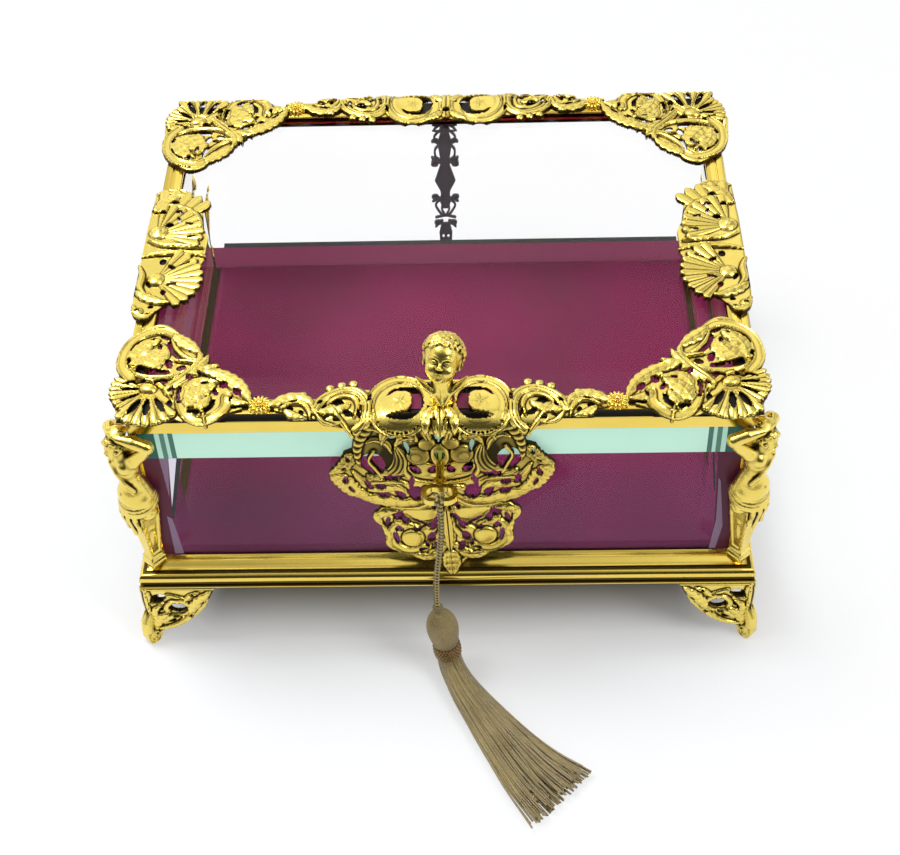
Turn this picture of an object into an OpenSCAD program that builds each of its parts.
// Glass casket box: a bevelled glass box in a gilt frame on four feet, with pierced
// mounts on its hinged lid, a lock, a key and a tassel on the key.
// Millimetres. +X is to the right, +Y to the back, +Z up. The origin lies on the
// table, under the middle of the whole object without its cord and tassel.

/* [Lid] */
// Width of the lid frame
lid_w = 250; // [200:1:320]
// Depth of the lid frame
lid_d = 200; // [160:1:260]
// Height of the lid frame
lid_h = 4.2; // [3.8:0.1:6]
// Width of the lid rail, seen from above
lid_rail_w = 9; // [8:0.5:12]
// Thickness of the lid glass
lid_glass_t = 3.4; // [3:0.1:3.8]
// Width of the bevel on the lid glass
lid_bevel = 18; // [8:1:26]
// Gap between the closed lid and the box
lid_gap = 0.3; // [0.2:0.1:0.6]
// How far the lid stands past the box on each side
lid_overhang = 3; // [2:0.5:5]

/* [Box] */
// Height of the underside of the closed lid's seat above the table
box_top = 131.5; // [110:0.5:160]
// Thickness of the four glass panes
glass_t = 5; // [4:0.5:6]
// Height of the gilt rail round the top of the box
top_rail_h = 8; // [6:0.5:11]
// Thickness of the gilt sheet of posts and top rails
sheet_t = 1.5; // [1:0.1:2]
// Length of each leg of the corner posts
post_leg = 6; // [4:0.5:9]

/* [Base] */
// Height of the feet
foot_h = 36; // [26:1:46]
// Height of the base moulding
base_h = 10.5; // [9:0.5:14]
// How far the base moulding stands past the glass box
base_overhang = 8.5; // [7:0.5:12]
// Thickness of the wine coloured lining pad
lining_t = 3; // [2:0.5:6]
// Thickness of the bottom plate
plate_t = 2.5; // [1.5:0.5:4]
// Length of each wing of a foot along the base
foot_wing = 30; // [22:1:40]

/* [Figures] */
// Radius of a corner figure at the hips
hip_r = 8; // [6:0.5:9]
// Height of the tapered pillar under a figure
pillar_h = 37; // [28:1:44]

/* [Lock] */
// Height of the key above the table
key_z = 110; // [104:0.5:114]
// Radius of the key's shaft
key_r = 1.6; // [1.2:0.1:2]
// Width of the pierced lock plate
plate_w = 92; // [80:1:100]
// Running clearance of round fits
fit = 0.05; // [0.02:0.01:0.09]
// Width of the lock case
lock_w = 32; // [30:1:40]
// Depth of the lock case
lock_d = 11; // [11:0.5:14]
// How far the key's bow stands in front of the glass
bow_reach = 21.5; // [19:0.5:28]
// Travel of the bolt each way
bolt_travel = 3; // [2:0.1:3]

/* [Hinges] */
// Radius of a hinge knuckle
knuckle_r = 1.8; // [1.6:0.1:2.2]
// Radius of a hinge pin
pin_r = 0.9; // [0.7:0.05:1]
// Length of a hinge
hinge_len = 26; // [20:1:36]
// Distance of each hinge from the middle of the box
hinge_x = 62; // [40:1:80]

/* [Mounts] */
// Thickness of the stamped sheet
mount_t = 1.4; // [1:0.1:2]
// Length of a corner mount along each side
corner_leg = 55; // [45:1:64]
// Radius of the two domed scrolls of the centre mounts
dome_r = 14; // [11:0.5:16]
// Radius of the small rosettes
rosette_r = 4.6; // [3.6:0.1:5.6]
// Height of the child's head
head_h = 21; // [16:0.5:24]

/* [Tassel] */
// Diameter of the twisted cord
cord_dia = 2.6; // [2:0.1:3.2]
// Radius of the tassel's head
tassel_r = 7; // [6:0.5:8]

/* [Hidden] */
$fn = 48;

gilt = [0.83, 0.68, 0.25];
clear_glass = [0.75, 0.92, 0.85, 0.4];
wine = [0.42, 0.03, 0.18];
bronze_thread = [0.48, 0.40, 0.22];
steel = [0.62, 0.6, 0.55];

// The box inside the lid's outline
box_w = lid_w - 2 * lid_overhang;
box_d = lid_d - 2 * lid_overhang;
base_w = box_w + 2 * base_overhang;
base_d = box_d + 2 * base_overhang;
base_top = foot_h + base_h;
glass_foot = base_top - 3.5;
plate_top = glass_foot;
pane_inner = sheet_t + glass_t;
seat_in = pane_inner + 3.5;
ledge_in = seat_in + 3;
pane_top = box_top - sheet_t;
rail_foot = box_top - top_rail_h;

// The lid
lid_z = box_top + lid_gap;
lid_top = lid_z + lid_h;
flange_t = 0.8;
flange_top_t = 1.1;
lid_web_in = 1.5;
lid_web_t = 1.2;
lid_glass_in = lid_web_in + lid_web_t + 0.3;
lid_glass_z = lid_z + flange_t;
lid_edge_t = lid_h - flange_t - flange_top_t - 0.7;

// The lock, which sits behind the front pane
lock_front = -box_d / 2 + pane_inner;
lock_foot = key_z - 12;
wall_t = 1.2;
bit_r = 7.2;
bit_t = 1.4;
bit_y0 = lock_front + 3.9;
bit_w = 3.6;
bolt_z = key_z + 6.5;
bolt_h = 6;
bolt_y0 = lock_front + 3.7;
bolt_t = 4;
guide_w = 2.8;
guide_t = 1.5;
catch_x = 10.5;
catch_t = 2;
catch_clear = 0.3;
screw_r = 1;
screw_head_r = 2;
screw_head_t = 0.8;
screw_len = 7;
foot_plate_t = 1.5;
foot_screw_in = 21;

// The key's bow and the reach of the whole object to the front and back
bow_l = 9;
bow_w = 14.4;
bow_wire = 1.3;
bow_y = -box_d / 2 - bow_reach;
bow_hole_margin = 1.95;
front_reach = -(bow_y - bow_l / 2);
// The toe scrolls stand out diagonally from a point just inside the base's corner
foot_inset = 0.6;
toe_tip = 3.2;
toe_half_t = 2.6;
toe_r = 4;
foot_wall_t = 2.2;
toe_reach = base_d / 2 - foot_inset + (toe_tip + toe_half_t) * sin(45);
dome_inset = 4;
back_reach = max(toe_reach, lid_d / 2 - dome_inset + dome_r);
frame_shift_y = (front_reach - back_reach) / 2;

// The hinge axis, behind everything on the closed lid
hinge_y = lid_d / 2 + knuckle_r + 0.2;
hinge_z = box_top + lid_gap / 2;
leaf_t = 1;

// The lock plate stands just off the glass, and its lower tier leans out over the base
plate_gap = 0.2;
tier_lean = 8; // degrees
plate_k = plate_w / 92;
tier_top = key_z - 29 * plate_k;
tier_l = (tier_top - base_top + 1.2) / cos(tier_lean);
strip_w = 13;
strip_t = 1.2;

// Mounts lie on the lid frame
// A rosette closes the gap between a corner mount and a centre mount
corner_leg_out = 51 * corner_leg / 55;
rosette_x = lid_w / 2 - corner_leg_out - rosette_r - 0.8;
centre_half = rosette_x - rosette_r - 0.4;
side_l = lid_d - 2 * corner_leg_out - 4;
mount_z = lid_top;
// The child's head stands between the two domes, and a rivet beyond each dome
head_x = 0.8;
neck_r = 4.8 * head_h / 21;
dome_cap_r = 0.7 * dome_r;
dome_x = dome_cap_r + neck_r + head_x + 0.1;
centre_rivet_x = dome_x + dome_cap_r + 3.7;
rail_mid = lid_rail_w / 2;
edge_out = 2.5;
rivet_r = 0.6;
rivet_head_r = 1.1;
rivet_head_t = 0.5;

// Route of the cord from the key's bow to the tassel, chosen by hand
cord_route = [[0, -125, 110.6], [0.2, -125.2, 107], [0.4, -125, 102], [0.3, -124.6, 96],
    [-0.2, -124.2, 90], [-0.7, -123.8, 84], [-1.3, -123.4, 78], [-2, -123, 72], [-2.6, -122.6, 66],
    [-3, -122.2, 60], [-3.3, -121.7, 54], [-3.4, -121.2, 49], [-3.45, -120.7, 44.7]];
tassel_top = [-3.4, -120.6, 44];
tassel_foot = [0.5, -123.5, 13];
band_h = 6;
skirt_route = [[0.5, -123.5, 13], [2.5, -128, 7.5], [8, -138, 5], [16, -150, 4.6],
    [26, -164, 4.2], [37, -178, 3.6], [49, -190, 2.6]];
skirt_w = [6.4, 7, 8.5, 10.5, 12.5, 14.5, 16];
skirt_h = [6, 6.4, 5, 4.6, 4.2, 3.6, 2.6];

module place() translate([0, frame_shift_y, 0]) children();

// ---------- shared shapes ----------
// A rail along X, mitred at both ends, from a profile of [inward distance, height]
module mitred_rail(len, depth, reach) {
    intersection() {
        translate([0, -depth / 2, 0]) rotate([90, 0, 90])
            linear_extrude(len + 40, center = true) children();
        translate([0, 0, -10]) linear_extrude(300)
            polygon([[-len / 2 - 20, -depth / 2 - 20], [len / 2 + 20, -depth / 2 - 20],
                [len / 2 - reach, -depth / 2 + reach], [-len / 2 + reach, -depth / 2 + reach]]);
    }
}
// The same rail set on one of the four sides: 0 front, 1 right, 2 back, 3 left
module side_rail(side, w, d, reach) {
    len = side % 2 == 0 ? w : d;
    depth = side % 2 == 0 ? d : w;
    rotate(90 * side) mitred_rail(len, depth, reach) children();
}
// Copies a thing made at the right front corner to the corner named by two signs
module corner(sx, sy) mirror([sx < 0 ? 1 : 0, 0, 0]) mirror([0, sy > 0 ? 1 : 0, 0]) children();
module leaf2d(len, w) {
    // A pointed leaf from the origin along +X: two circles that cross
    r = (len * len / 4 + w * w / 4) / w;
    intersection() {
        translate([len / 2, r - w / 2]) circle(r);
        translate([len / 2, w / 2 - r]) circle(r);
    }
}
module bent_leaf(x, y, a, len, w) translate([x, y]) rotate(a) leaf2d(len, w);
module ring2d(r, t) difference() {
    circle(r);
    circle(r - t);
}

// ---------- base ----------
module base_profile() {
    // Three rounded steps down and out, over a flat fillet
    step = base_overhang / 4;
    difference() {
        union() {
            translate([0, foot_h]) square([seat_in + base_overhang, glass_foot - foot_h]);
            translate([base_overhang - sheet_t, foot_h]) square([sheet_t, base_h - step / 2]);
            translate([base_overhang - step, foot_h]) square([step, base_h - step]);
            translate([base_overhang - step / 2, base_top - step / 2 - 0.6]) circle(step / 2 + 0.6);
            translate([base_overhang - 1.9 * step, base_top - 1.8 * step]) circle(step * 0.72);
            translate([base_overhang - 3 * step, base_top - 3.2 * step]) circle(step * 0.9);
            translate([base_overhang - 2 * step, foot_h]) square([2 * step, base_h - 2 * step]);
            translate([step, foot_h]) square([2 * step, base_h - 3 * step]);
        }
        translate([base_overhang + sheet_t, glass_foot]) square([seat_in, base_h]);
        translate([seat_in + base_overhang, foot_h]) square([20, 20]);
        translate([base_overhang + sheet_t, base_top + 0.001]) square([20, 20]);
    }
    translate([seat_in + base_overhang - 0.01, foot_h])
        square([3.01, glass_foot - plate_t - foot_h]);
}
module base_rail(side) color(gilt) place() difference() {
    side_rail(side, base_w, base_d, ledge_in + base_overhang + 4) base_profile();
    foot_screws(hole = true);
}
module base_plate() color(gilt) place()
    translate([-box_w / 2 + seat_in, -box_d / 2 + seat_in, plate_top - plate_t])
        cube([box_w - 2 * seat_in, box_d - 2 * seat_in, plate_t]);
module lining_pad() color(wine) place()
    translate([-box_w / 2 + pane_inner + 0.2, -box_d / 2 + pane_inner + 0.2, plate_top])
        cube([box_w - 2 * pane_inner - 0.4, box_d - 2 * pane_inner - 0.4, lining_t]);

// One wing of a foot, drawn in X and Z from the corner inwards
module foot_outline() {
    difference() {
        union() {
            polygon([[0, foot_h], [-foot_wing, foot_h], [-foot_wing, foot_h - 4],
                [-foot_wing * 0.72, foot_h * 0.62], [-foot_wing * 0.45, foot_h * 0.4],
                [-foot_wing * 0.2, foot_h * 0.24], [0, foot_h * 0.16]]);
            translate([-foot_wing * 0.38, foot_h * 0.72]) circle(foot_h * 0.24);
            translate([-foot_wing * 0.16, foot_h * 0.4]) circle(foot_h * 0.19);
        }
        translate([-foot_wing * 0.4, foot_h * 0.74]) circle(foot_h * 0.1);
        translate([-foot_wing * 0.24, foot_h * 0.42]) circle(foot_h * 0.055);
        translate([-foot_wing * 0.78, foot_h * 0.86]) circle(foot_h * 0.05);
    }
}
module foot_plan() polygon([[0, 0], [-foot_wing, 0], [-foot_wing, 6], [-6, 6], [-6, foot_wing],
    [0, foot_wing]]);
module foot_shape() {
    difference() {
        union() {
            translate([0, foot_wall_t, 0]) rotate([90, 0, 0]) linear_extrude(foot_wall_t) foot_outline();
            rotate([90, 0, -90]) linear_extrude(foot_wall_t) foot_outline();
            translate([0, 0, foot_h - foot_plate_t]) linear_extrude(foot_plate_t) foot_plan();
            // The toe is a scroll that turns outwards at the corner
            rotate([90, 0, -45]) linear_extrude(2 * toe_half_t, center = true) toe_outline();
        }
        // Everything stops at the table
        translate([-2 * foot_wing, -2 * foot_wing, -20]) cube([4 * foot_wing, 4 * foot_wing, 20]);
    }
}
module toe_outline() {
    translate([toe_tip - toe_r, toe_r]) circle(toe_r);
    translate([toe_tip - 1.4 * toe_r, 0]) square([1.2 * toe_r, 1]);
    translate([-toe_r, 0.6 * toe_r]) circle(0.6 * toe_r);
    polygon([[-toe_r, foot_h / 2], [-1.3 * toe_r, 0.6 * toe_r], [0, 0.2], [toe_tip - 0.5, 1.6 * toe_r],
        [0.6, foot_h / 2]]);
}
module foot(sx, sy) color(gilt) place() difference() {
    corner(sx, sy) translate([base_w / 2 - foot_inset, -base_d / 2 + foot_inset, 0]) foot_shape();
    foot_screws(hole = true);
}
// A screw points up from its head; its hole has the same radius
module screw(hole, len) {
    cylinder(h = len, r = screw_r);
    translate([0, 0, hole ? -20 : -screw_head_t])
        cylinder(h = hole ? 20 : screw_head_t, r = hole ? screw_head_r + 0.2 : screw_head_r);
}
module foot_screws(hole) for (sx = [-1, 1]) for (sy = [-1, 1])
    translate([sx * (base_w / 2 - foot_screw_in), sy * (base_d / 2 - 4), foot_h - foot_plate_t])
        screw(hole, screw_len);
module lock_screws(hole) for (sx = [-1, 1])
    translate([sx * (lock_w / 2 - 3), lock_front + lock_d + wall_t, lock_foot + 3])
        rotate([90, 0, 0]) screw(hole, screw_len);
module case_screws() color(gilt) place() {
    foot_screws(hole = false);
    lock_screws(hole = false);
}

// ---------- glass box ----------
module key_passage(r) translate([0, -box_d / 2, 0]) rotate([-90, 0, 0]) {
    translate([0, -key_z, -20]) cylinder(h = 45, r = r);
    translate([-r, -key_z, -20]) cube([2 * r, bit_r, 45]);
    translate([0, -key_z + bit_r, -20]) cylinder(h = 45, r = r);
}
module pane(w, h) translate([-w / 2, 0, 0]) cube([w, glass_t, h]);
module glass_front() color(clear_glass) place() difference() {
    translate([0, -box_d / 2 + sheet_t, glass_foot])
        pane(box_w - 2 * sheet_t, pane_top - glass_foot);
    key_passage(3.6);
}
module glass_back() color(clear_glass) place()
    translate([0, box_d / 2 - sheet_t - glass_t, glass_foot])
        pane(box_w - 2 * sheet_t, pane_top - glass_foot);
module glass_side(s) color(clear_glass) place() mirror([s < 0 ? 1 : 0, 0, 0])
    translate([box_w / 2 - sheet_t, 0, glass_foot]) rotate(90)
        pane(box_d - 2 * pane_inner, pane_top - glass_foot);

// ---------- corner posts and figures ----------
module post(sx, sy) color(gilt) place() corner(sx, sy)
    translate([box_w / 2, -box_d / 2, base_top]) linear_extrude(rail_foot - base_top)
        polygon([[0, 0], [-post_leg, 0], [-post_leg, sheet_t], [-sheet_t, sheet_t],
            [-sheet_t, post_leg], [0, post_leg]]);

// A half figure on a tapered pillar, facing +X from the Z axis, arms over its head
module figure_shape() {
    z0 = base_top;
    z1 = z0 + pillar_h;
    top = box_top - 0.6;
    figure_l = top - z1;
    waist = z1 + 0.36 * figure_l;
    chest = z1 + 0.62 * figure_l;
    head_z = z1 + 0.85 * figure_l;
    k = hip_r / 8;
    color(gilt) {
        // Plinth and pillar, square in plan
        translate([0, 0, z0]) cylinder(h = 3.2, r1 = 4.6 * k, r2 = 5.4 * k, $fn = 4);
        translate([0, 0, z0 + 3.2]) cylinder(h = pillar_h - 6, r1 = 4.2 * k, r2 = 7.6 * k, $fn = 4);
        // Drapery round the hips
        translate([0, 0, z1 - 3]) cylinder(h = 5, r1 = 6.4 * k, r2 = hip_r);
        translate([0.6, 0, z1 + 4.5]) sphere(hip_r);
        translate([0.4, 0, z1 + 6]) cylinder(h = waist - z1 - 5, r1 = 6.8 * k, r2 = 4.6 * k);
        translate([0.8, 0, waist]) cylinder(h = chest - waist - 2, r1 = 4.6 * k, r2 = 5.8 * k);
        translate([0.8, 0, chest - 1]) sphere(6 * k);
        for (s = [-1, 1]) translate([4.6 * k, s * 2.9 * k, chest - 2]) sphere(2.9 * k);
        // Neck, head and curls
        translate([0.8, 0, chest + 3]) cylinder(h = head_z - chest - 4, r = 2.6 * k);
        translate([2.4 * k, 0, head_z]) sphere(4.4 * k);
        for (a = [-60 : 30 : 240])
            translate([k * (0.6 - 1.3 * sin(a)), k * 4.2 * cos(a), head_z + k * (2.2 * sin(a) + 0.6)])
                sphere(1.7 * k);
        // Raised arms: shoulder to elbow, elbow to the hands over the head
        shoulder = [0.5, 5.4 * k, chest + 1.4];
        elbow = [1.6, 10.6 * k, head_z - 1.5];
        hand = [0.8, 2 * k, top - 2.2];
        for (s = [0, 1]) mirror([0, s, 0]) {
            translate(shoulder) sphere(2.6 * k);
            between(shoulder, elbow) cylinder(h = norm(elbow - shoulder), r1 = 2.6 * k, r2 = 2.1 * k);
            translate(elbow) sphere(2.2 * k);
            between(elbow, hand) cylinder(h = norm(hand - elbow), r1 = 2.1 * k, r2 = 1.7 * k);
        }
        // The hands meet under the corner of the lid
        translate([0.6, 0, top - 3.4]) cylinder(h = 3.4, r = 3.4 * k);
    }
}
module figure(sx, sy) place() color(gilt) difference() {
    corner(sx, sy) translate([box_w / 2 + 1, -box_d / 2 - 1.5, 0]) rotate(-45) figure_shape();
    translate([-box_w / 2, -box_d / 2, 0]) cube([box_w, box_d, box_top]);
    translate([0, 0, box_top - 0.5]) cylinder(h = 60, r = lid_w);
}

// ---------- top rails, rear strip ----------
module top_rail(side) color(gilt) place() difference() {
    side_rail(side, box_w, box_d, pane_inner + 4) {
        translate([0, rail_foot]) square([sheet_t, top_rail_h]);
        translate([0, pane_top]) square([pane_inner, sheet_t]);
    }
}
module rear_strip() color(gilt) place()
    translate([0, box_d / 2, base_top]) rotate([90, 0, 180]) linear_extrude(strip_t) {
        strip_h = rail_foot - base_top;
        translate([-1.5, 0]) square([3, strip_h]);
        for (f = [0.06, 0.2, 0.78, 0.93]) translate([0, f * strip_h]) for (s = [-1, 1])
            translate([s * strip_w / 4, 0]) ring2d(strip_w / 4, 1.5);
        translate([0, strip_h * 0.36]) circle(strip_w * 0.36);
        translate([0, strip_h * 0.5]) square([4.6, strip_h * 0.2], center = true);
        translate([0, strip_h * 0.64]) circle(strip_w * 0.32);
        for (f = [0.28, 0.72]) translate([-strip_w * 0.4, f * strip_h]) square([strip_w * 0.8, 2]);
    }

// ---------- escutcheon and lock ----------
// Outline of the pierced lock plate, in X and height above the key
module escutcheon_upper() {
    k = plate_k;
    difference() {
        for (s = [-1, 1]) mirror([s < 0 ? 1 : 0, 0])
            polygon(k * [[0, 20], [25, 20], [33, 14], [38, 8], [46, -10], [38, -18], [28, -25],
                [16, -30], [0, -33]]);
        for (s = [-1, 1]) mirror([s < 0 ? 1 : 0, 0]) {
            for (p = [[22, 1, 5.4], [27, -16, 2.2], [10, -19, 3], [17, -20, 2], [34, 2, 1.2],
                [38, -8, 1.3], [31, -9, 1.2]]) translate([k * p[0], k * p[1]]) circle(k * p[2]);
            translate([18 * k, -9 * k]) square([8 * k, 2.6 * k], center = true);
        }
        translate([0, 14 * k]) circle(1.8 * k);
    }
}
// Outline of the lower tier, downwards from its top edge
module escutcheon_lower() {
    k = plate_k;
    f = tier_l / 36;
    difference() {
        for (s = [-1, 1]) mirror([s < 0 ? 1 : 0, 0])
            polygon([[0, 0], [27 * k, 0], [30 * k, -4 * f], [28 * k, -13 * f], [26 * k, -21 * f],
                [22 * k, -26 * f], [10 * k, -31 * f], [4 * k, -34 * f], [0, -tier_l]]);
        for (s = [-1, 1]) mirror([s < 0 ? 1 : 0, 0]) {
            for (p = [[23, -6, 1.8], [24, -17, 1.4], [6, -13, 2], [19, -21, 1.3], [7, -26, 1.5]])
                translate([k * p[0], f * p[1]]) circle(k * p[2]);
            translate([14 * k, -7 * f]) square([9 * k, 2.2 * f], center = true);
        }
    }
}
module escutcheon() color(gilt) place() difference() {
    k = plate_k;
    union() {
        translate([0, -box_d / 2 - plate_gap, key_z]) rotate([90, 0, 0])
            linear_extrude(mount_t) escutcheon_upper();
        // Shoulders: two ribbed half rings
        for (s = [-1, 1]) translate([s * 22 * k, -box_d / 2 - plate_gap - mount_t, key_z + k])
            rotate([90, 0, 0]) linear_extrude(1.8) ring2d(11.5 * k, 4 * k);
        // Centre cartouche
        translate([0, -box_d / 2 - plate_gap - mount_t, key_z - k]) rotate([90, 0, 0]) {
            for (s = [-1, 1]) for (u = [-1, 1]) translate([s * 5.6 * k, u * 8 * k, 0])
                cylinder(h = 2.6, r = 6.2 * k);
            cylinder(h = 4, r = 7 * k);
        }
        // Lower tier, leaning out over the base
        translate([0, -box_d / 2 - plate_gap - 0.5, tier_top]) rotate([90 - tier_lean, 0, 0])
            linear_extrude(mount_t) escutcheon_lower();
    }
    key_passage(key_r + 0.6);
    translate([-box_w / 2, -box_d / 2 - plate_gap / 2, 0]) cube([box_w, box_d, box_top]);
}
module lock_case() color(gilt) place() difference() {
    translate([-lock_w / 2, lock_front, lock_foot]) cube([lock_w, lock_d, box_top - lock_foot]);
    difference() {
        translate([-lock_w / 2 + wall_t, lock_front + wall_t, lock_foot + wall_t])
            cube([lock_w - 2 * wall_t, lock_d, box_top - lock_foot - 2 * wall_t]);
        // Bosses for the cover's screws and guides for the bolt
        for (s = [-1, 1]) translate([s * (lock_w / 2 - 3) - 2.2, lock_front, lock_foot])
            cube([4.4, lock_d, 5.6]);
        for (x = [-12.6, catch_x - 3.8]) translate([x, lock_front, bolt_z - guide_t - fit])
            cube([guide_w, lock_d, guide_t]);
        translate([-6, lock_front, bolt_z + bolt_h + fit]) cube([12, lock_d, guide_t]);
    }
    // Slot for the catch, keyhole and screw holes
    translate([catch_x - 1, lock_front + wall_t, box_top - 5]) cube([catch_t + 2, lock_d - 2 * wall_t, 10]);
    translate([0, lock_front - 1, key_z]) rotate([-90, 0, 0]) cylinder(h = 5, r = key_r + fit);
    translate([-bit_t / 2 - 0.2, lock_front - 1, key_z - bit_r - 0.4]) cube([bit_t + 0.4, 5, bit_r]);
    lock_screws(hole = true);
}
module lock_cover() color(gilt) place() difference() {
    translate([-lock_w / 2, lock_front + lock_d, lock_foot]) cube([lock_w, wall_t, box_top - lock_foot]);
    translate([0, lock_front + lock_d - 1, key_z]) rotate([-90, 0, 0]) cylinder(h = 5, r = key_r + fit);
    lock_screws(hole = true);
}
module lock_bolt() color(steel) place() difference() {
    translate([-11.5, bolt_y0, bolt_z]) cube([21.5, bolt_t, bolt_h]);
    // Notch that the key's bit works in
    translate([-8, bolt_y0 - 1, bolt_z - 1]) cube([8 - 2.15, bolt_t + 2, 3]);
}
module key() color(gilt) place() {
    shaft_y = bow_y + bow_l / 2;
    tip_y = lock_front + lock_d + wall_t;
    translate([0, shaft_y - 0.6, key_z]) rotate([-90, 0, 0]) cylinder(h = tip_y - shaft_y + 0.6, r = key_r);
    // Collar in front of the lock plate
    translate([0, shaft_y + 1.4, key_z]) rotate([-90, 0, 0]) cylinder(h = 1.6, r = key_r + 1);
    // The bow is a flat oval ring
    translate([0, bow_y, key_z]) difference() {
        bow_disc(0);
        bow_disc(bow_hole_margin);
    }
    translate([-bit_r, bit_y0, key_z - bit_t / 2]) cube([bit_r - 0.5, bit_w, bit_t]);
}
// An oval, bow_w wide and bow_l long, shrunk by a margin
module bow_disc(margin) {
    end_r = bow_l / 2 - margin;
    spread = (bow_w - bow_l) / 2;
    for (s = [-1, 1]) translate([s * spread, 0, -bow_wire - margin])
        cylinder(h = 2 * bow_wire + 2 * margin, r = end_r);
    translate([-spread, -end_r, -bow_wire - margin]) cube([2 * spread, 2 * end_r, 2 * bow_wire + 2 * margin]);
}
module lid_catch() color(steel) place() {
    plate_y = -lid_d / 2 + 5;
    plate_l = lock_front + lock_d - 1 - plate_y;
    translate([-lock_w / 2, plate_y, lid_z]) cube([lock_w, plate_l, flange_t]);
    lug_y = bolt_y0 - 1.4;
    difference() {
        translate([catch_x, lug_y, bolt_z - 2]) cube([catch_t, bolt_t + 2.8, lid_z - bolt_z + 2]);
        translate([catch_x - 1, bolt_y0 - catch_clear, bolt_z - catch_clear])
            cube([catch_t + 2, bolt_t + 2 * catch_clear, bolt_h + 2 * catch_clear]);
    }
}

// ---------- hinges ----------
// Knuckle n of three along a hinge
module knuckle(n, r) {
    k = hinge_len / 3;
    translate([-hinge_len / 2 + n * k + 0.15, 0, 0]) rotate([0, 90, 0]) cylinder(h = k - 0.3, r = r);
}
module hinge_at(s) translate([s * hinge_x, hinge_y, hinge_z]) children();
module hinge_leaf(s) color(gilt) place() difference() {
    hinge_at(s) {
        reach = hinge_y - box_d / 2;
        k = hinge_len / 3;
        for (n = [0, 2]) {
            knuckle(n, knuckle_r);
            translate([-hinge_len / 2 + n * k + 0.15, -reach, -knuckle_r]) cube([k - 0.3, reach, knuckle_r - 0.4]);
        }
        translate([-hinge_len / 2, -reach, rail_foot - hinge_z]) cube([hinge_len, leaf_t, hinge_z - rail_foot - 0.6]);
    }
    hinge_at(s) rotate([0, 90, 0]) cylinder(h = hinge_len + 2, r = pin_r, center = true);
}
module lid_leaf(s) color(gilt) place() difference() {
    hinge_at(s) {
        k = hinge_len / 3;
        reach = hinge_y - lid_d / 2;
        knuckle(1, knuckle_r);
        translate([-k / 2 + 0.15, -reach, 0.2]) cube([k - 0.3, reach, knuckle_r - 0.2]);
        translate([-hinge_len / 2 + 1, -reach, knuckle_r + 0.4 - 0.15])
            cube([hinge_len - 2, leaf_t, lid_top - hinge_z - knuckle_r - 0.25]);
        translate([-k / 2 + 0.15, -reach, 0.2]) cube([k - 0.3, leaf_t, lid_top - hinge_z - 0.2]);
    }
    hinge_at(s) rotate([0, 90, 0]) cylinder(h = hinge_len + 2, r = pin_r + fit, center = true);
}
module hinge_pin(s) color(gilt) place() hinge_at(s)
    rotate([0, 90, 0]) cylinder(h = hinge_len, r = pin_r, center = true);

// ---------- lid ----------
module lid_profile() {
    difference() {
        union() {
            translate([0, lid_z]) square([5, flange_t]);
            translate([0, lid_z]) square([lid_web_in + lid_web_t, 1]);
            translate([lid_web_in, lid_z]) square([lid_web_t, lid_h]);
            translate([0.4, lid_top - flange_top_t]) square([lid_rail_w - 0.4, flange_top_t]);
        }
        // Groove that parts the rail's two strips
        translate([rail_mid, lid_top + 0.25]) circle(0.6);
    }
}
module lid_rail(side) color(gilt) place() difference() {
    side_rail(side, lid_w, lid_d, lid_rail_w + 4) lid_profile();
    rivets(hole = true);
}
module lid_glass() color(clear_glass) place() {
    w = lid_w - 2 * lid_glass_in;
    d = lid_d - 2 * lid_glass_in;
    translate([0, 0, lid_glass_z]) hull() {
        translate([-w / 2, -d / 2, 0]) cube([w, d, lid_edge_t]);
        translate([-w / 2 + lid_bevel, -d / 2 + lid_bevel, 0])
            cube([w - 2 * lid_bevel, d - 2 * lid_bevel, lid_glass_t]);
    }
}

// ---------- lid mounts ----------
// A corner mount at the right front corner: its outer edges pass the lid by edge_out
module corner_outline() {
    k = corner_leg / 55;
    difference() {
        union() {
            translate([-12, 12]) circle(14 * k);
            translate([-2.5, 2.5]) square([30 * k, 30 * k]);
            translate([-13 * k, 34 * k]) circle(13 * k);
            translate([-34 * k, 13 * k]) circle(12 * k);
            bent_leaf(-20 * k, 20 * k, 135, 22 * k, 12 * k);
            bent_leaf(-26 * k, 34 * k, 66, 24 * k, 9 * k);
            bent_leaf(-30 * k, 27 * k, 196, 26 * k, 9 * k);
            polygon([[0, 0], [-44 * k, 2], [-corner_leg_out, 6], [-44 * k, 16 * k], [-30 * k, 32 * k],
                [-16 * k, 46 * k], [-8, 50 * k], [0, 46 * k]]);
        }
        // The fan's slots
        for (a = [-105 : 15 : -75]) fan_slot(a, k);
        for (a = [-30 : 15 : 0]) fan_slot(a, k);
        for (a = [253 : 15 : 313]) fan_slot(a, k);
        // Piercings of the two roundels and along the stem
        translate([-13 * k, 34 * k]) roundel_holes(k);
        translate([-34 * k, 13 * k]) mirror([1, -1]) roundel_holes(k);
        translate([-26 * k, 22 * k]) circle(2.2 * k);
        translate([-23 * k, 30 * k]) circle(2 * k);
        translate([-31 * k, 27.5 * k]) circle(1.4 * k);
    }
}
module fan_slot(a, k) translate([-15 * k, 16 * k]) rotate(a) translate([5 * k, -0.8]) square([9 * k, 1.6]);
module roundel_holes(k) {
    for (a = [20, 75, 250, 305]) rotate(a) translate([8.3 * k, 0]) circle(2 * k);
    rotate(150) translate([7.6 * k, 0]) circle(1.5 * k);
    translate([1.5 * k, 2 * k]) circle(1.1 * k);
}
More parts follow.
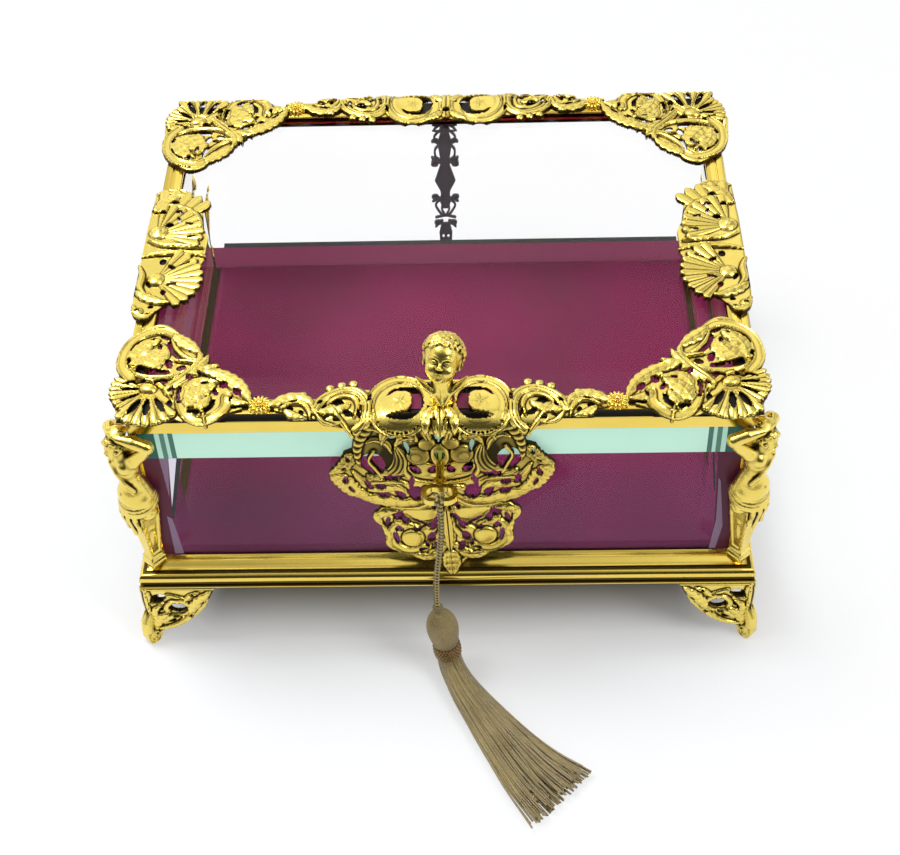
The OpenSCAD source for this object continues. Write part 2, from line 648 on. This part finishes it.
module corner_mount(sx, sy) color(gilt) place() difference() {
    corner(sx, sy) translate([lid_w / 2, -lid_d / 2, mount_z]) {
        linear_extrude(mount_t) intersection() {
            corner_outline();
            translate([-80, -edge_out]) square([80 + edge_out, 80]);
        }
        // Low domes in the roundels, and the hub of the fan
        k = corner_leg / 55;
        for (p = [[-13 * k, 34 * k], [-34 * k, 13 * k]]) translate([p[0], p[1], mount_t]) cap(5.6 * k, 1.8);
        translate([-15 * k, 16 * k, mount_t]) cap(4.4 * k, 2.2);
    }
    rivets(hole = true);
}
// A spherical cap of base radius r and height h
module cap(r, h) {
    ball = (r * r + h * h) / (2 * h);
    intersection() {
        translate([0, 0, h - ball]) sphere(ball);
        cylinder(h = h + 1, r = r + 1);
    }
}
// Half of a centre mount: X away from the middle, Y away from the rail's outer edge
module centre_half_outline() {
    k = centre_half / 64;
    difference() {
        union() {
            translate([dome_x, dome_inset]) circle(dome_r);
            translate([37 * k, 3]) circle(10.5 * k);
            translate([53 * k, 4]) circle(6 * k);
            polygon([[0, -9], [5, -6], [24 * k, -5], [46 * k, -2], [60 * k, 2], [centre_half, 4],
                [60 * k, 7], [46 * k, 11], [26 * k, 14], [8, 17], [0, 16]]);
        }
        translate([dome_x + 2.4, 5]) circle(dome_r * 0.26);
        translate([dome_x - 2.6, 0]) circle(dome_r * 0.2);
        translate([38 * k, 7]) circle(2.4 * k);
        translate([33 * k, -1]) circle(2.8 * k);
        translate([43 * k, 0.5]) circle(1.8 * k);
        translate([55 * k, 1.6]) circle(1.3 * k);
        translate([50 * k, 1.2]) circle(1.2 * k);
    }
}
module centre_mount(back) color(gilt) place() difference() {
    mirror([0, back ? 1 : 0, 0]) translate([0, -lid_d / 2, mount_z]) {
        for (s = [0, 1]) mirror([s, 0, 0]) {
            linear_extrude(mount_t) centre_half_outline();
            translate([dome_x, dome_inset, mount_t]) difference() {
                cap(dome_cap_r, 3.6);
                translate([2, 1, -1]) cylinder(h = 9, r = dome_r * 0.22);
            }
        }
        if (back) translate([0, 6, mount_t]) cylinder(h = 5, r1 = 2.4, r2 = 1.4);
    }
    rivets(hole = true);
}
module side_mount(s) color(gilt) place() difference() {
    k = side_l / 94;
    mirror([s < 0 ? 1 : 0, 0, 0]) translate([lid_w / 2, 0, mount_z]) {
        linear_extrude(mount_t) intersection() {
            difference() {
                for (p = [[-8, 22, 12], [-12, 6, 12.5], [-10, -18, 16], [-5, -36, 8.5], [-1, 33, 5]])
                    translate([k * p[0], k * p[1]]) circle(k * p[2]);
                for (p = [[-8, 27, 2.2], [-4, 20, 1.4], [-8, 12, 2.4], [-20, 3, 1.6], [-8, -9, 2.2],
                    [-11, -17, 2], [-6, -23, 2.2], [-11, -25, 1.6], [-2, -40, 1.5], [-8, -41, 1.6]])
                    translate([k * p[0], k * p[1]]) circle(k * p[2]);
            }
            translate([-side_l, -side_l]) square([side_l + edge_out, 2 * side_l]);
        }
        translate([-14 * k, -18 * k, mount_t]) cap(7.5 * k, 2.4);
        translate([-13 * k, 6 * k, mount_t]) cap(7.5 * k, 2.4);
    }
    rivets(hole = true);
}
module lid_rosettes() color(gilt) place()
    for (sx = [-1, 1]) for (sy = [-1, 1])
        translate([sx * rosette_x, sy * (lid_d / 2 - rail_mid), mount_z]) {
            linear_extrude(mount_t) union() {
                circle(rosette_r * 0.72);
                for (i = [0 : 13]) rotate(i * 360 / 14) translate([rosette_r * 0.8, 0]) circle(rosette_r * 0.2);
            }
            translate([0, 0, mount_t]) cap(rosette_r * 0.4, 1);
        }
rivet_spots = concat(
    [for (sx = [-1, 1]) for (sy = [-1, 1]) [sx * (lid_w / 2 - 26.5), sy * (lid_d / 2 - rail_mid)]],
    [for (sx = [-1, 1]) for (sy = [-1, 1]) [sx * (lid_w / 2 - rail_mid), sy * (lid_d / 2 - 26.5)]],
    [for (sx = [-1, 1]) for (sy = [-1, 1]) [sx * centre_rivet_x, sy * (lid_d / 2 - rail_mid)]],
    [for (sx = [-1, 1]) for (y = [-31, 32]) [sx * (lid_w / 2 - rail_mid), y * side_l / 94]]);
module rivets(hole) for (p = rivet_spots) translate([p[0], p[1], lid_top - flange_top_t]) {
    cylinder(h = flange_top_t + mount_t + (hole ? 9 : 0), r = rivet_r);
    if (!hole) translate([0, 0, flange_top_t + mount_t]) cylinder(h = rivet_head_t, r = rivet_head_r);
}
module lid_rivets() color(gilt) place() rivets(hole = false);

// A child's head with a small winged collar, on the middle of the front mount
module child_head() color(gilt) place()
    translate([head_x, -lid_d / 2 + 6, mount_z + mount_t]) {
        k = head_h / 21;
        cylinder(h = 15 * k, r1 = neck_r, r2 = 3.6 * k);
        for (s = [-1, 1]) translate([s * 5 * k, 0.8, 8 * k]) rotate([90, 0, 0])
            linear_extrude(1.6) polygon([[-s * 3, -5], [s * 4.5 * k, 2.6 * k], [s * 1 * k, 3.4 * k], [-s * 3, 1]]);
        translate([0, 0.4, 23 * k]) sphere(8 * k);
        translate([0, -1.8, 17.4 * k]) sphere(6.2 * k);
        for (s = [-1, 1]) {
            translate([s * 4 * k, -4 * k, 18.4 * k]) sphere(2.9 * k);
            translate([s * 7.7 * k, 0.6, 20 * k]) sphere(1.8 * k);
        }
        translate([0, -8 * k, 20 * k]) sphere(1.4 * k);
        for (a = [0 : 30 : 180]) translate([7 * k * cos(a), 1, (23.4 + 6.6 * sin(a)) * k]) sphere(2 * k);
    }

// ---------- cord and tassel ----------
function unit(v) = v / norm(v);
function route_dir(route, i) = unit(route[min(i + 1, len(route) - 1)] - route[max(i - 1, 0)]);
function side_of(d) = unit(cross(d, abs(d[2]) > 0.8 ? [0, 1, 0] : [0, 0, 1]));
// One skin over rings of elliptical section set along a route
module swept(route, half_w, half_h, sides) {
    n = len(route);
    points = [for (i = [0 : n - 1])
        let (d = route_dir(route, i), u = side_of(d), v = cross(u, d))
            for (j = [0 : sides - 1])
                let (a = 360 * j / sides) route[i] + half_w[i] * cos(a) * u + half_h[i] * sin(a) * v];
    walls = [for (i = [0 : n - 2]) for (j = [0 : sides - 1])
        [i * sides + j, i * sides + (j + 1) % sides, (i + 1) * sides + (j + 1) % sides, (i + 1) * sides + j]];
    ends = [[for (j = [sides - 1 : -1 : 0]) j], [for (j = [0 : sides - 1]) (n - 1) * sides + j]];
    polyhedron(points, concat(walls, ends), convexity = 4);
}
module cord() color(bronze_thread) place()
    swept(cord_route, [for (p = cord_route) cord_dia / 2], [for (p = cord_route) cord_dia / 2], 8);
// Lines a shape on +Z up between two points
module between(a, b) {
    d = b - a;
    h = norm(d);
    translate(a) rotate([0, acos(d[2] / h), atan2(d[1], d[0])]) children();
}
module tassel_head() color(bronze_thread) place() between(tassel_foot, tassel_top)
    rotate_extrude() intersection() {
        union() {
            translate([0, band_h]) square([tassel_r * 0.8, 3]);
            translate([0, 16]) circle(tassel_r);
            translate([0, band_h + 3]) square([tassel_r * 0.9, 6]);
            square([2.2, norm(tassel_top - tassel_foot)]);
        }
        translate([0, band_h]) square([50, 100]);
    }
module tassel_beads() color(bronze_thread) place() between(tassel_foot, tassel_top)
    cylinder(h = band_h, r = tassel_r * 0.98);
module tassel_skirt() color(bronze_thread) place() difference() {
    swept(skirt_route, skirt_w, skirt_h, 16);
    between(tassel_foot, tassel_top) cylinder(h = 40, r = 30);
    translate([-300, -400, -60]) cube([600, 600, 60]);
}

base_plate();
base_rail(0);  // base_rail_front
base_rail(2);  // base_rail_back
base_rail(3);  // base_rail_left
base_rail(1);  // base_rail_right
foot(-1, -1);  // foot_front_left
foot(1, -1);  // foot_front_right
foot(-1, 1);  // foot_back_left
foot(1, 1);  // foot_back_right
lining_pad();
glass_front();
glass_back();
glass_side(-1);  // glass_left
glass_side(1);  // glass_right
post(-1, -1);  // post_front_left
post(1, -1);  // post_front_right
post(-1, 1);  // post_back_left
post(1, 1);  // post_back_right
figure(-1, -1);  // figure_front_left
figure(1, -1);  // figure_front_right
figure(-1, 1);  // figure_back_left
figure(1, 1);  // figure_back_right
top_rail(0);  // top_rail_front
top_rail(2);  // top_rail_back
top_rail(3);  // top_rail_left
top_rail(1);  // top_rail_right
rear_strip();
escutcheon();
lock_case();
lock_cover();
case_screws();
lock_bolt();
key();
hinge_leaf(-1);  // hinge_leaf_left
hinge_leaf(1);  // hinge_leaf_right
hinge_pin(-1);  // hinge_pin_left
hinge_pin(1);  // hinge_pin_right
lid_leaf(-1);  // lid_leaf_left
lid_leaf(1);  // lid_leaf_right
lid_rail(0);  // lid_rail_front
lid_rail(2);  // lid_rail_back
lid_rail(3);  // lid_rail_left
lid_rail(1);  // lid_rail_right
lid_glass();
corner_mount(-1, -1);  // corner_mount_front_left
corner_mount(1, -1);  // corner_mount_front_right
corner_mount(-1, 1);  // corner_mount_back_left
corner_mount(1, 1);  // corner_mount_back_right
centre_mount(false);  // centre_mount_front
centre_mount(true);  // centre_mount_back
side_mount(-1);  // side_mount_left
side_mount(1);  // side_mount_right
lid_rosettes();
lid_rivets();
child_head();
lid_catch();
cord();
tassel_head();
tassel_beads();
tassel_skirt();
